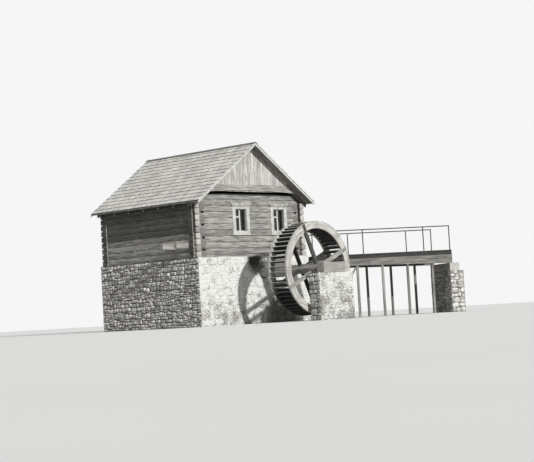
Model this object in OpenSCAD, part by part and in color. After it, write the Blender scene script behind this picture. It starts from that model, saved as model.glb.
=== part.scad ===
// Watermill: a log house on a masonry foundation with an undershot paddle wheel beside its gable,
// an outer bearing pier and an oblique sluice bridge with railings.
// X runs along the gable front, Y back along the ridge, Z up from the lowest ground.

/* [House] */
// Width of the log house across the gable, over the outer log faces
house_w = 7400; // [6800:10:8200]
// Length of the log house along the ridge, over the outer log faces
house_l = 6580; // [6200:10:7600]
// Height of the foundation top above the lowest ground
base_h = 3230; // [3100:10:3500]
// Height of one hewn log
log_h = 290; // [270:2:310]
// Thickness of the hewn logs, outer face to inner face
log_t = 270; // [220:5:320]
// Number of full logs in a side wall
side_courses = 9; // [9:1:10]
// How far the side logs run out past the gable walls
front_tail = 180; // [100:5:250]
// Gap between the side logs' ends past the gable walls
tail_gap = 40; // [10:5:60]
// How far the gable logs run out past the side walls
side_tail = 50; // [20:5:100]
// Width of the bevel on the long edges of a log
log_bevel = 18; // [8:1:30]

/* [Foundation] */
// Thickness of the masonry walls
base_t = 700; // [550:10:800]
// How far the masonry stands out before the gable logs
base_front = 280; // [200:10:320]
// How far the masonry stands out beside the side logs
base_side = 40; // [20:5:80]
// Radius of the hole that the shaft passes through
shaft_hole_r = 290; // [270:5:350]

/* [Floor] */
// Height of the floor joists
joist_h = 270; // [200:5:300]
// Width of the floor joists
joist_w = 170; // [120:5:200]
// Distance between joists, centre to centre
joist_pitch = 970; // [850:10:1000]
// Place of the first joist behind the gable face
joist_first = 330; // [290:5:400]
// Height of the joists' underside above the foundation top
joist_z = 470; // [420:5:520]
// How far the first two joists stick out past the left wall
joist_out = 800; // [600:10:1000]
// Depth of the pockets that hold the joists' other ends
joist_pocket = 150; // [100:5:200]
// Number of joists
joist_n = 6; // [5:1:6]
// Thickness of the floor boards
floor_t = 45; // [30:1:60]

/* [Roof] */
// Pitch of the roof
pitch_deg = 35.7; // [33:0.1:38]
// Horizontal overhang at the eaves, from the side wall to the covering's edge
eave_out = 255; // [200:5:320]
// Overhang at the front gable, from the gable wall to the barge board's face
verge_out = 720; // [640:5:800]
// Overhang at the back gable, from the gable wall to the barge board's face
verge_back = 620; // [550:5:800]
// Depth of a rafter
rafter_d = 140; // [120:5:160]
// Width of a rafter
rafter_w = 80; // [60:5:100]
// Number of rafter pairs over the house, without the outer ones
rafter_n = 7; // [6:1:8]
// Depth of the notch that seats a rafter on the top log
rafter_seat = 50; // [30:2:60]
// How far a rafter's tail stays behind the covering's edge
rafter_back = 60; // [40:5:100]
// Thickness of the roof boarding
boarding_t = 40; // [25:1:50]
// Number of courses of the covering on one slope
cover_rows = 15; // [12:1:17]
// Thickness of the covering at the lower edge of a course
cover_hi = 50; // [35:1:60]
// Thickness of the covering at the upper edge of a course
cover_lo = 22; // [15:1:30]
// How far the covering runs out past the barge boards
cover_lip = 25; // [10:1:40]
// Depth of the barge boards, square to the slope
barge_d = 90; // [60:5:130]
// Thickness of the barge boards
barge_t = 30; // [20:1:40]
// Width of a ridge board
ridge_w = 170; // [120:5:200]
// Thickness of a ridge board
ridge_t = 26; // [18:1:35]
// Gap between the ridge boards and the courses under them
ridge_gap = 1; // [0.5:0.5:3]

/* [Gable] */
// Height of the gable boarding's foot above the foundation top
gable_z = 3130; // [3060:10:3200]
// Thickness of the gable boards
gable_t = 30; // [20:1:40]
// How far the outer rafters, which carry the gable boards, stand out before the gable logs
gable_out = 180; // [120:5:180]
// Height of the skirt's upper edge above the foundation top
skirt_z = 3465; // [3400:5:3550]
// Height that the skirt covers in its middle
skirt_h = 335; // [280:5:400]
// How far the skirt's lower edge stands out before the logs
skirt_out = 270; // [250:5:340]
// Thickness of the skirt boards
skirt_t = 25; // [18:1:35]
// How much wider the skirt is at its ends than in its middle
skirt_sag = 150; // [60:5:180]
// Number of straight stretches in the skirt's lower edge
skirt_parts = 16; // [8:2:24]

/* [Windows] */
// Width of the clear opening between the casing boards
win_w = 730; // [650:10:900]
// Height of the clear opening
win_h = 1080; // [900:10:1200]
// Height of the opening's foot above the foundation top
win_z = 1230; // [1100:10:1350]
// Centre of the left window from the left wall
win_x1 = 3150; // [2900:10:3300]
// Centre of the right window from the left wall
win_x2 = 5750; // [5500:10:6000]
// Width of the upright casing boards
casing_w = 200; // [140:5:230]
// Height of the casing's head board
head_h = 140; // [100:5:180]
// Height of the casing's foot board
foot_h = 180; // [120:5:220]
// Thickness of the casing boards
casing_t = 30; // [20:1:40]
// Height of the crown board over a window
crown_h = 130; // [90:5:160]
// Height of the upturned ears at the crown's ends
ear_h = 130; // [60:5:160]
// Width of an ear at its root
ear_w = 90; // [60:5:120]
// How far the crown's ends rise from its foot
crown_rise = 80; // [40:5:85]
// How far the crown runs out past the casing
crown_out = 90; // [50:5:120]
// How far the crown stands out before the logs
crown_t = 70; // [50:5:90]
// How far the sash stands back from the gable face
sash_set = 90; // [60:5:130]
// Width of the sash's edge bars
sash_w = 40; // [35:1:60]
// Width of the bars between the panes
bar_w = 75; // [50:5:90]
// Thickness of the sash
sash_t = 45; // [35:1:55]
// Height of the small upper pane in the left leaf
vent_h = 300; // [250:10:400]
// Thickness of the glass
glass_t = 4; // [3:1:6]

/* [Wheel] */
// Radius of the wheel over the rims
wheel_r = 2200; // [2100:10:2300]
// Radial width of a rim
rim_w = 354; // [300:2:400]
// Thickness of a rim
rim_t = 90; // [60:5:110]
// Width of the wheel over the outer faces of the rims
wheel_w = 1152; // [1000:2:1300]
// Distance of the wheel's outer face from the gable face
wheel_out = 3930; // [3880:10:3980]
// Place of the shaft's axis from the left wall
shaft_x = 4200; // [4000:10:4400]
// Height of the shaft's axis above the lowest ground
shaft_z = 2450; // [2400:10:2550]
// Radius of the shaft
shaft_r = 225; // [200:5:240]
// Number of paddles
paddle_n = 56; // [48:4:64]
// Thickness of a paddle board
paddle_t = 30; // [20:1:40]
// Depth of the grooves in the rims that hold the paddles
paddle_groove = 15; // [10:1:25]
// How far the paddles' outer edges stay inside the rims' edge
paddle_set = 6; // [2:1:20]
// Width of an arm in the plane of the rim
arm_w = 190; // [150:5:220]
// Depth of the mortises that hold the arms in the shaft
arm_tenon = 60; // [40:2:90]
// Thickness of an arm's end where it is let into the rim's outer face
arm_lap = 40; // [25:1:50]
// How far the arms' ends stay inside the rims' edge
arm_set = 8; // [5:1:20]
// Turn of the arms from level
arm_turn = 24; // [0:1:40]
// Radius of the iron gudgeons at the shaft's ends
gudgeon_r = 45; // [30:1:60]
// Length of a gudgeon past the end of the shaft
gudgeon_l = 330; // [250:5:360]
// Gap between a gudgeon and its bearing
gudgeon_gap = 1; // [0.5:0.5:3]
// Gap between the shaft's ends and the bearings
shaft_play = 20; // [10:5:40]

/* [Outer pier] */
// Width of the outer pier along the wheel
pier_w = 2360; // [2000:10:2600]
// Thickness of the outer pier
pier_t = 700; // [640:10:760]
// Gap between the wheel and the outer pier
pier_gap = 170; // [120:5:220]
// Place of the pier's left end from the left wall
pier_x = 3250; // [3000:10:3400]
// Gap between the shaft and the top of the pier
pier_under = 35; // [20:1:60]
// Length of the bearing timbers
block_w = 1480; // [1300:10:1600]
// How far the bearing timbers' middle stands past the shaft
block_off = 135; // [0:5:200]
// Height of the bearing timbers
block_h = 470; // [440:5:520]
// Thickness of the bearing timbers
block_t = 430; // [400:5:450]
// Distance of the inner bearing behind the foundation's inner face
inner_gap = 150; // [80:10:250]

/* [Sluice bridge] */
// Gap between the right wall and the bridge's left front corner
bridge_gap = 300; // [250:10:500]
// Place of the bridge's left front corner behind the gable face
bridge_y = -300; // [-500:10:0]
// Turn of the bridge out from the gable's line
bridge_turn = 34; // [28:1:40]
// Length of the bridge deck
bridge_l = 7300; // [6900:10:7800]
// Width of the bridge between its edges
bridge_w = 3200; // [2600:10:3600]
// Height of the deck's top above the lowest ground
deck_z = 3180; // [3050:10:3300]
// Thickness of the deck planks
deck_t = 60; // [45:1:80]
// How far the planks run out over the stringers
deck_lip = 40; // [20:5:80]
// Height of the edge stringers under the planks
stringer_h = 180; // [140:5:220]
// Width of the edge stringers
stringer_w = 140; // [100:5:180]
// Height of the long beams at their thin, left end
beam_thin = 300; // [240:5:320]
// Height of the long beams at their thick, right end
beam_thick = 430; // [330:5:460]
// Width of the long beams
beam_w = 240; // [180:5:280]
// Height of the sills under the beams' ends
sill_h = 400; // [300:10:450]
// Width of the sills along the bridge
sill_w = 500; // [350:10:560]
// How far the right ends of the beams reach over their sill
sill_lap = 150; // [100:10:300]
// Width of the posts under the beams
bridge_post = 110; // [90:5:150]
// Distance between the posts, centre to centre
post_pitch = 1310; // [1200:10:1400]
// Place of the first post from the deck's left end
post_first = 1005; // [850:5:1100]
// Thickness of the brace between the first two front posts
brace_t = 75; // [50:5:90]
// Height of the brace's foot on the first post
brace_z = 700; // [500:10:1000]
// Height of the railing above the deck
rail_h = 1250; // [1000:10:1300]
// Radius of the railing's posts and top rail
rail_r = 28; // [18:1:35]
// Distance between railing posts, centre to centre
rail_pitch = 3180; // [2800:10:3400]
// Place of the first railing post from the deck's left end
rail_first = 2680; // [2400:10:2900]
// Distance of the railing's end posts from the deck's ends
rail_end = 60; // [40:5:150]
// Gap between the tops of the posts and the beams over them
post_gap = 1; // [0.5:0.5:3]
// Length of the abutments along the bridge
abut_l = 700; // [560:10:800]

/* [Hidden] */
$fn = 48;
reach = 10;
slope = tan(pitch_deg);
half_w = house_w / 2;
log_top = base_h + side_courses * log_h;
seat_z = log_top - rafter_seat;
cover_n0 = rafter_d + boarding_t;
row_run = (half_w + eave_out) / cover_rows;
windows = [win_x1, win_x2];
rim_in = wheel_r - rim_w;
arm_end = sqrt(pow(rim_in * cos(90 / paddle_n), 2) - pow(arm_w / 2, 2));
pier_y = -wheel_out - pier_gap - pier_t;
pier_top = shaft_z - shaft_r - pier_under;
block_x = shaft_x + block_off - block_w / 2;
shaft_out = pier_y + block_t + shaft_play;
inner_y = base_t - base_front + inner_gap;
beam_top = deck_z - deck_t - stringer_h;

// Point of the left slope's section at place x, n square to the slope from the rafters' underside
function plumb_pt(x, n) = [x, seat_z + x * slope + n / cos(pitch_deg)];

// Section of a stack of hewn logs: a first log of its own height, then full ones, with bevelled edges
module log_section(first, courses) {
    feet = [for (k = [0:courses]) k == 0 ? base_h : base_h + first + (k - 1) * log_h];
    heads = [for (k = [0:courses]) base_h + first + k * log_h];
    up = [for (k = [0:courses]) each [[log_bevel, feet[k]], [0, feet[k] + log_bevel],
        [0, heads[k] - log_bevel], [log_bevel, heads[k]]]];
    down = [for (k = [courses:-1:0]) each [[log_t - log_bevel, heads[k]], [log_t, heads[k] - log_bevel],
        [log_t, feet[k] + log_bevel], [log_t - log_bevel, feet[k]]]];
    polygon(concat(up, down));
}

// Space under the rafters' underside, over the whole house, with a flat foot
module under_roof(y0, y1, n) {
    translate([0, y1, 0]) rotate([90, 0, 0])
        linear_extrude(y1 - y0)
            polygon([[-joist_out, base_h], [-joist_out, plumb_pt(-joist_out, n)[1]], plumb_pt(half_w, n),
                [house_w + joist_out, plumb_pt(-joist_out, n)[1]], [house_w + joist_out, base_h]]);
}

// Gable wall of lapped logs with two window openings, standing on y from 0 to the log's thickness
module gable_logs() {
    courses = side_courses + 1;
    difference() {
        intersection() {
            translate([house_w + side_tail, 0, 0]) rotate([90, 0, -90]) mirror([1, 0, 0])
                linear_extrude(house_w + 2 * side_tail) log_section(log_h / 2, courses);
            under_roof(-reach, log_t + reach, 0);
        }
        for (x = [0, house_w - log_t]) for (k = [0:side_courses - 1])
            translate([x, -reach, base_h + k * log_h + log_h / 4])
                cube([log_t, log_t + 2 * reach, log_h / 2]);
        for (x = windows)
            translate([x - win_w / 2, -reach, base_h + win_z])
                cube([win_w, log_t + 2 * reach, win_h]);
    }
}

// Side wall of lapped logs on x from 0 to the log's thickness, their ends apart past the gable walls
module side_logs() {
    difference() {
        translate([0, house_l + front_tail, 0]) rotate([90, 0, 0])
            linear_extrude(house_l + 2 * front_tail) log_section(log_h, side_courses - 1);
        for (y = [0, house_l - log_t])
            for (k = [0:side_courses])
                translate([-reach, y, base_h + k * log_h - log_h / 4])
                    cube([log_t + 2 * reach, log_t, log_h / 2]);
        for (y = [-front_tail - reach, house_l])
            for (k = [1:side_courses - 1])
                translate([-reach, y, base_h + k * log_h - tail_gap / 2])
                    cube([log_t + 2 * reach, front_tail + reach, tail_gap]);
    }
}

module joist_row(from_x, to_x, out) {
    for (i = [0:joist_n - 1]) {
        x0 = i < 2 ? from_x - out : from_x;
        translate([x0, joist_first + i * joist_pitch, base_h + joist_z])
            cube([to_x - x0, joist_w, joist_h]);
    }
}

module front_foundation() {
    color("gainsboro") difference() {
        translate([-base_side, -base_front, 0])
            cube([house_w + 2 * base_side, base_t, base_h]);
        translate([shaft_x, -base_front - reach, shaft_z]) rotate([-90, 0, 0])
            cylinder(r = shaft_hole_r, h = base_t + 2 * reach);
    }
}

module back_foundation() {
    color("gray") translate([-base_side, house_l + base_front - base_t, 0])
        cube([house_w + 2 * base_side, base_t, base_h]);
}

module side_foundation() {
    translate([0, base_t - base_front, 0])
        cube([base_t, house_l + 2 * (base_front - base_t), base_h]);
}

module left_foundation() {
    color("gray") translate([-base_side, 0, 0]) side_foundation();
}

module right_foundation() {
    color("gray") translate([house_w + base_side - base_t, 0, 0]) side_foundation();
}

module front_log_wall() {
    color("darkgray") gable_logs();
}

module back_log_wall() {
    color("darkgray") translate([0, house_l, 0]) mirror([0, 1, 0]) gable_logs();
}

module left_log_wall() {
    color("dimgray") difference() {
        side_logs();
        joist_row(-reach, log_t + reach, 0);
    }
}

module right_log_wall() {
    color("dimgray") difference() {
        translate([house_w, 0, 0]) mirror([1, 0, 0]) side_logs();
        joist_row(house_w - log_t - reach, house_w - log_t + joist_pocket, 0);
    }
}

module floor_joists() {
    color("silver") joist_row(0, house_w - log_t + joist_pocket, joist_out);
}

module floor_boards() {
    color("tan") translate([log_t, log_t, base_h + joist_z + joist_h])
        cube([house_w - 2 * log_t, house_l - 2 * log_t, floor_t]);
}

// Rafters of the left slope: plumb cut at the ridge, notched over the top log, the outer two over its tails
module rafters() {
    places = [for (i = [0:rafter_n - 1]) i * (house_l - rafter_w) / (rafter_n - 1)];
    difference() {
        for (y = concat([-gable_out], places, [house_l + gable_out - rafter_w]))
            translate([0, y + rafter_w, 0]) rotate([90, 0, 0])
                linear_extrude(rafter_w)
                    polygon([plumb_pt(rafter_back - eave_out, 0), plumb_pt(half_w, 0),
                        plumb_pt(half_w, rafter_d), plumb_pt(rafter_back - eave_out, rafter_d)]);
        translate([0, -front_tail, base_h])
            cube([log_t, house_l + 2 * front_tail, log_top - base_h]);
    }
}

module boarding() {
    y0 = -verge_out + barge_t;
    y1 = house_l + verge_back - barge_t;
    translate([0, y1, 0]) rotate([90, 0, 0])
        linear_extrude(y1 - y0)
            polygon([plumb_pt(rafter_back / 2 - eave_out, rafter_d), plumb_pt(half_w, rafter_d),
                plumb_pt(half_w, cover_n0), plumb_pt(rafter_back / 2 - eave_out, cover_n0)]);
}

// Covering of the left slope: each course thick at its lower edge and thin where the next one laps it
module covering() {
    y0 = -verge_out - cover_lip;
    y1 = house_l + verge_back + cover_lip;
    teeth = [for (i = [0:cover_rows - 1]) each [plumb_pt(-eave_out + i * row_run, cover_n0 + cover_hi),
        plumb_pt(-eave_out + (i + 1) * row_run, cover_n0 + cover_lo)]];
    translate([0, y1, 0]) rotate([90, 0, 0])
        linear_extrude(y1 - y0)
            polygon(concat([plumb_pt(-eave_out, cover_n0)], teeth, [plumb_pt(half_w, cover_n0)]));
}

module right_side() {
    translate([house_w, 0, 0]) mirror([1, 0, 0]) children();
}

module left_rafters() {
    color("silver") rafters();
}

module right_rafters() {
    color("silver") right_side() rafters();
}

module left_roof_boarding() {
    color("gray") boarding();
}

module right_roof_boarding() {
    color("gray") right_side() boarding();
}

module left_roof_covering() {
    color("lightgray") covering();
}

module right_roof_covering() {
    color("lightgray") right_side() covering();
}

// Two boards that lap the top courses along the ridge
module ridge_boards() {
    y0 = -verge_out - cover_lip;
    y1 = house_l + verge_back + cover_lip;
    x0 = half_w - ridge_w * cos(pitch_deg);
    n1 = cover_n0 + cover_lo + ridge_gap;
    n0 = n1 + (cover_hi - cover_lo) * (half_w - x0) / row_run;
    left = [plumb_pt(x0, n0), plumb_pt(x0, n0 + ridge_t), plumb_pt(half_w, n1 + ridge_t)];
    right = [for (p = [left[1], left[0]]) [house_w - p[0], p[1]]];
    color("dimgray") translate([0, y1, 0]) rotate([90, 0, 0])
        linear_extrude(y1 - y0) polygon(concat(left, right, [plumb_pt(half_w, n1)]));
}

// Pair of barge boards under the covering's edge, on y from 0 to their thickness
module barge_pair() {
    low = cover_n0 - barge_d;
    side = [plumb_pt(-eave_out, low), plumb_pt(-eave_out, cover_n0), plumb_pt(half_w, cover_n0)];
    other = [for (p = [side[1], side[0]]) [house_w - p[0], p[1]]];
    translate([0, barge_t, 0]) rotate([90, 0, 0])
        linear_extrude(barge_t) polygon(concat(side, other, [plumb_pt(half_w, low)]));
}

module front_barge_boards() {
    color("white") translate([0, -verge_out, 0]) barge_pair();
}

module back_barge_boards() {
    color("white") translate([0, house_l + verge_back - barge_t, 0]) barge_pair();
}

// Triangle of gable boarding, its back against the outer rafters
module gable_boards() {
    foot_z = base_h + gable_z;
    foot_x = (foot_z - seat_z - rafter_d / cos(pitch_deg)) / slope;
    translate([0, -gable_out, 0]) rotate([90, 0, 0]) linear_extrude(gable_t)
        polygon([[foot_x, foot_z], [house_w - foot_x, foot_z], plumb_pt(half_w, rafter_d)]);
}

// Pent skirt: two lapped boards sloping out from the gable, with a bowed lower edge, clipped by the roof
module skirt() {
    head_y = gable_out + gable_t;
    fall = norm([skirt_h, skirt_out - head_y]);
    lean = atan2(skirt_out - head_y, skirt_h);
    bow = [for (i = [0:skirt_parts]) let (u = 2 * i / skirt_parts - 1)
        [half_w + u * half_w, -fall - skirt_sag * u * u]];
    intersection() {
        translate([0, -head_y, base_h + skirt_z]) rotate([90 - lean, 0, 0])
            linear_extrude(skirt_t) polygon(concat([[0, 0]], bow, [[house_w, 0]]));
        under_roof(-verge_out, 0, rafter_d);
    }
}

module front_gable_boards() {
    color("lightgray") gable_boards();
}

module back_gable_boards() {
    color("lightgray") translate([0, house_l, 0]) mirror([0, 1, 0]) gable_boards();
}

module front_skirt() {
    color("silver") skirt();
}

module back_skirt() {
    color("silver") translate([0, house_l, 0]) mirror([0, 1, 0]) skirt();
}

// Casing boards and crown with upturned ears of one window, centred on x = 0 with the opening's foot at z = 0
module casing() {
    outer = win_w / 2 + casing_w;
    top = win_h + head_h;
    end = outer + crown_out;
    rotate([90, 0, 0]) linear_extrude(casing_t) difference() {
        translate([-outer, -foot_h]) square([2 * outer, foot_h + top]);
        translate([-win_w / 2, 0]) square([win_w, win_h]);
    }
    rotate([90, 0, 0]) linear_extrude(crown_t)
        polygon([[-end, top + crown_h + ear_h], [-end, top + crown_rise], [-outer, top], [outer, top],
            [end, top + crown_rise], [end, top + crown_h + ear_h], [end - ear_w, top + crown_h],
            [-end + ear_w, top + crown_h]]);
}

// Frame of one window with a middle post and a bar across its left leaf
module sash() {
    pane = (win_w - 2 * sash_w - bar_w) / 2;
    translate([0, sash_set + sash_t, 0]) rotate([90, 0, 0]) linear_extrude(sash_t) difference() {
        translate([-win_w / 2, 0]) square([win_w, win_h]);
        translate([bar_w / 2, sash_w]) square([pane, win_h - 2 * sash_w]);
        translate([-bar_w / 2 - pane, sash_w]) square([pane, win_h - 2 * sash_w - vent_h - bar_w]);
        translate([-bar_w / 2 - pane, win_h - sash_w - vent_h]) square([pane, vent_h]);
    }
}

module glass() {
    translate([-win_w / 2, sash_set + sash_t, 0]) cube([win_w, glass_t, win_h]);
}

module at_windows() {
    for (x = windows) translate([x, 0, base_h + win_z]) children();
}

module at_back() {
    translate([0, house_l, 0]) mirror([0, 1, 0]) children();
}

module front_window_casings() {
    color("whitesmoke") at_windows() casing();
}

module back_window_casings() {
    color("whitesmoke") at_back() at_windows() casing();
}

module front_window_sashes() {
    color("white") at_windows() sash();
}

module back_window_sashes() {
    color("white") at_back() at_windows() sash();
}

module front_window_glass() {
    color("black") at_windows() glass();
}

module back_window_glass() {
    color("black") at_back() at_windows() glass();
}

module outer_pier() {
    color("white") translate([pier_x, pier_y, 0]) cube([pier_w, pier_t, pier_top]);
}

// Bearing timber with a blind bore for the gudgeon, its bore opening at y = block_t
module bearing_timber(foot_z) {
    difference() {
        translate([block_x, 0, foot_z]) cube([block_w, block_t, block_h]);
        translate([shaft_x, block_t - gudgeon_l, shaft_z]) rotate([-90, 0, 0])
            cylinder(r = gudgeon_r + gudgeon_gap, h = gudgeon_l + reach);
    }
}

module outer_bearing() {
    color("lightgray") translate([0, pier_y, 0]) bearing_timber(pier_top);
}

// Inner bearing timber on its own pedestal inside the foundation
module inner_bearing() {
    color("gray") translate([0, inner_y + block_t, 0]) mirror([0, 1, 0]) bearing_timber(pier_top);
    color("gray") translate([block_x, inner_y, 0]) cube([block_w, block_t, pier_top]);
}

module at_bridge() {
    translate([house_w + bridge_gap, bridge_y, 0]) rotate([0, 0, -bridge_turn]) children();
}

module bridge_deck() {
    color("dimgray") at_bridge() {
        translate([0, -deck_lip, deck_z - deck_t]) cube([bridge_l, bridge_w + 2 * deck_lip, deck_t]);
        for (y = [0, bridge_w - stringer_w])
            translate([0, y, beam_top]) cube([bridge_l, stringer_w, stringer_h]);
    }
}

// Height of a beam's underside at a place along the bridge
function beam_foot(x) = beam_top - beam_thin - (beam_thick - beam_thin)
    * min(1, max(0, (x - sill_w) / (bridge_l - sill_lap - sill_w)));

// Two tapered log beams, flat where they lie on the sills
module bridge_beams() {
    color("silver") at_bridge() for (y = [-deck_lip, bridge_w + deck_lip - beam_w])
        translate([0, y + beam_w, 0]) rotate([90, 0, 0]) linear_extrude(beam_w)
            polygon([[0, beam_foot(0)], [0, beam_top], [bridge_l, beam_top], [bridge_l, beam_foot(bridge_l)],
                [bridge_l - sill_lap, beam_foot(bridge_l)], [sill_w, beam_foot(0)]]);
}

// Upright from the bed to just under the beam's sloping underside
module bridge_upright(x) {
    end = x + bridge_post;
    translate([0, bridge_post, 0]) rotate([90, 0, 0]) linear_extrude(bridge_post)
        polygon([[x, 0], [x, beam_foot(x) - post_gap], [end, beam_foot(end) - post_gap], [end, 0]]);
}

module bridge_posts() {
    last = bridge_l - sill_lap - bridge_post;
    foot = post_first + bridge_post / 2;
    head = post_first + post_pitch - bridge_post / 2;
    head_z = beam_foot(head) - post_gap;
    color("gray") at_bridge() {
        for (x = [post_first : post_pitch : last]) for (y = [0, bridge_w - bridge_post])
            translate([0, y, 0]) bridge_upright(x - bridge_post / 2);
        translate([0, bridge_post, 0]) rotate([90, 0, 0]) linear_extrude(bridge_post)
            polygon([[foot, brace_z], [foot, brace_z + 2 * brace_t],
                [head, head_z], [head, head_z - 2 * brace_t]]);
    }
}

// Railing posts on the deck and their one top rail
module railing(y) {
    ends = [rail_end, bridge_l - rail_end];
    color("dimgray") at_bridge() {
        for (x = concat(ends, [for (x = [rail_first : rail_pitch : ends[1] - rail_pitch / 4]) x]))
            translate([x, y, deck_z]) cylinder(r = rail_r, h = rail_h - rail_r);
        translate([ends[0] - rail_r, y, deck_z + rail_h - rail_r]) rotate([0, 90, 0])
            cylinder(r = rail_r, h = ends[1] - ends[0] + 2 * rail_r);
    }
}

module front_railing() {
    railing(stringer_w / 2);
}

module back_railing() {
    railing(bridge_w - stringer_w / 2);
}

// Sills across the bridge under both ends of the beams
module bridge_sills() {
    color("whitesmoke") at_bridge() for (x = [0, bridge_l - sill_lap])
        translate([x, -deck_lip, beam_foot(x) - sill_h]) cube([sill_w, bridge_w + 2 * deck_lip, sill_h]);
}

module bridge_abutments() {
    color("gray") at_bridge() for (x = [0, bridge_l - sill_lap])
        translate([x, -deck_lip, 0]) cube([abut_l, bridge_w + 2 * deck_lip, beam_foot(x) - sill_h]);
}

module at_shaft() {
    translate([shaft_x, 0, shaft_z]) rotate([90, 0, 0]) children();
}

module wheel_shaft() {
    inner_end = shaft_play - inner_y;
    color("gray") at_shaft() difference() {
        union() {
            translate([0, 0, inner_end]) cylinder(r = shaft_r, h = -shaft_out - inner_end);
            translate([0, 0, inner_end - gudgeon_l]) cylinder(r = gudgeon_r, h = gudgeon_l + reach);
            translate([0, 0, -shaft_out - reach]) cylinder(r = gudgeon_r, h = gudgeon_l + reach);
        }
        for (z = [wheel_out - rim_t, wheel_out - wheel_w]) for (a = [0:90:270])
            rotate([0, 0, a + arm_turn]) translate([shaft_r - arm_tenon, -arm_w / 2, z])
                cube([arm_tenon + reach, arm_w, rim_t]);
    }
}

// Four arms of one rim on z from 0 to the rim's thickness, their thinner ends at the outer face
module arms() {
    for (a = [0:90:270]) rotate([0, 0, a + arm_turn]) {
        translate([shaft_r - arm_tenon, -arm_w / 2, 0]) cube([arm_end + arm_tenon - shaft_r, arm_w, rim_t]);
        translate([arm_end, -arm_w / 2, rim_t - arm_lap]) cube([wheel_r - arm_set - arm_end, arm_w, arm_lap]);
    }
}

// Ring of one rim on z from 0 to its thickness: paddle grooves in the face z = 0, arm laps in the other
module rim() {
    difference() {
        cylinder(r = wheel_r, h = rim_t, $fn = 2 * paddle_n);
        translate([0, 0, -reach]) cylinder(r = rim_in, h = rim_t + 2 * reach, $fn = 2 * paddle_n);
        for (a = [0:90:270]) rotate([0, 0, a + arm_turn])
            translate([rim_in - arm_w, -arm_w / 2, rim_t - arm_lap])
                cube([rim_w + 2 * arm_w, arm_w, arm_lap + reach]);
        for (i = [0:paddle_n - 1]) rotate([0, 0, (i + 0.5) * 360 / paddle_n])
            translate([rim_in - reach, -paddle_t / 2, -reach])
                cube([rim_w - paddle_set + reach, paddle_t, paddle_groove + reach]);
    }
}

// Places what is drawn with its outer face up at the outer wheel face
module at_near() {
    at_shaft() translate([0, 0, wheel_out - rim_t]) children();
}

// Places the same at the wheel face beside the house, outer face towards the house
module at_far() {
    at_shaft() translate([0, 0, wheel_out - wheel_w + rim_t]) mirror([0, 0, 1]) children();
}

module near_rim() {
    color("lightgray") at_near() rim();
}

module far_rim() {
    color("lightgray") at_far() rim();
}

module near_arms() {
    color("lightgray") at_near() arms();
}

module far_arms() {
    color("lightgray") at_far() arms();
}

// Paddle boards between the rims, their ends let into the rims' grooves
module paddles() {
    depth = wheel_w - 2 * (rim_t - paddle_groove);
    color("silver") at_shaft() for (i = [0:paddle_n - 1])
        rotate([0, 0, (i + 0.5) * 360 / paddle_n])
            translate([rim_in, -paddle_t / 2, wheel_out - rim_t + paddle_groove - depth])
                cube([rim_w - paddle_set, paddle_t, depth]);
}

front_foundation();
left_foundation();
right_foundation();
back_foundation();
front_log_wall();
left_log_wall();
right_log_wall();
back_log_wall();
floor_joists();
floor_boards();
left_rafters();
right_rafters();
left_roof_boarding();
right_roof_boarding();
left_roof_covering();
right_roof_covering();
ridge_boards();
front_barge_boards();
back_barge_boards();
front_gable_boards();
back_gable_boards();
front_skirt();
back_skirt();
front_window_casings();
back_window_casings();
front_window_sashes();
back_window_sashes();
front_window_glass();
back_window_glass();
outer_pier();
outer_bearing();
inner_bearing();
bridge_deck();
bridge_beams();
bridge_posts();
front_railing();
back_railing();
bridge_sills();
bridge_abutments();
wheel_shaft();
near_rim();
far_rim();
near_arms();
far_arms();
paddles();
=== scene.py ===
import math

import bpy
import numpy as np
from mathutils import Matrix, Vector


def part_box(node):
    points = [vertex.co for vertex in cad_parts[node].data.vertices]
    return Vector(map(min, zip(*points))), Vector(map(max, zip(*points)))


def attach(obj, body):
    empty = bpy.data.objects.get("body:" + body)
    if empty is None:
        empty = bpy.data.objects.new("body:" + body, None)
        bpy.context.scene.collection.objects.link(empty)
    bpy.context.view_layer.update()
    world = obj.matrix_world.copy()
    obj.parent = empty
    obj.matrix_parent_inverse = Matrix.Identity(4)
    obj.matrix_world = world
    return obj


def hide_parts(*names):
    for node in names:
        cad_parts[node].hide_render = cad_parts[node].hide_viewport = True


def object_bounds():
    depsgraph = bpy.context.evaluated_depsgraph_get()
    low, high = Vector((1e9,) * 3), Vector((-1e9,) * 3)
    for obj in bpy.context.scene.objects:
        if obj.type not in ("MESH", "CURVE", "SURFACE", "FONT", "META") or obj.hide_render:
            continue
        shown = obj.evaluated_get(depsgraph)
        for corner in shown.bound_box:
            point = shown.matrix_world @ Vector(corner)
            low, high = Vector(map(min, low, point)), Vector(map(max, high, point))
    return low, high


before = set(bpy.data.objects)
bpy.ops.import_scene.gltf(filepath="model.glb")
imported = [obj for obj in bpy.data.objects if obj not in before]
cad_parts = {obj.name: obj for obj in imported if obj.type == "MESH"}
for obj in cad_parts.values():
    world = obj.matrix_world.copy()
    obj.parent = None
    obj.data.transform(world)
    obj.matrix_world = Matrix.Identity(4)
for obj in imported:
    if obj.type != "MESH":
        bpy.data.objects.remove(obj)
solid_box = [list(corner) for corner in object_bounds()]
rng = np.random.default_rng(1886)


# Rubble foundation walls of the sides and the back, and the bridge's abutments.
# Field stones of 0.1 to 0.4 m, light and dark, laid in rough courses in lime mortar and left bare, so each stone
# stands a little proud of the mortar between them.

def wire(node, inputs):
    """Gives a node's sockets, by name or number, a value or a link. A link comes from another node's output, or
    from the node itself, which stands for the first of its outputs that is in use."""
    for key, value in inputs.items():
        if isinstance(value, bpy.types.Node):
            value = next(output for output in value.outputs if output.enabled)
        if isinstance(value, bpy.types.NodeSocket):
            node.id_data.links.new(value, node.inputs[key])
        else:
            node.inputs[key].default_value = value


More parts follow.
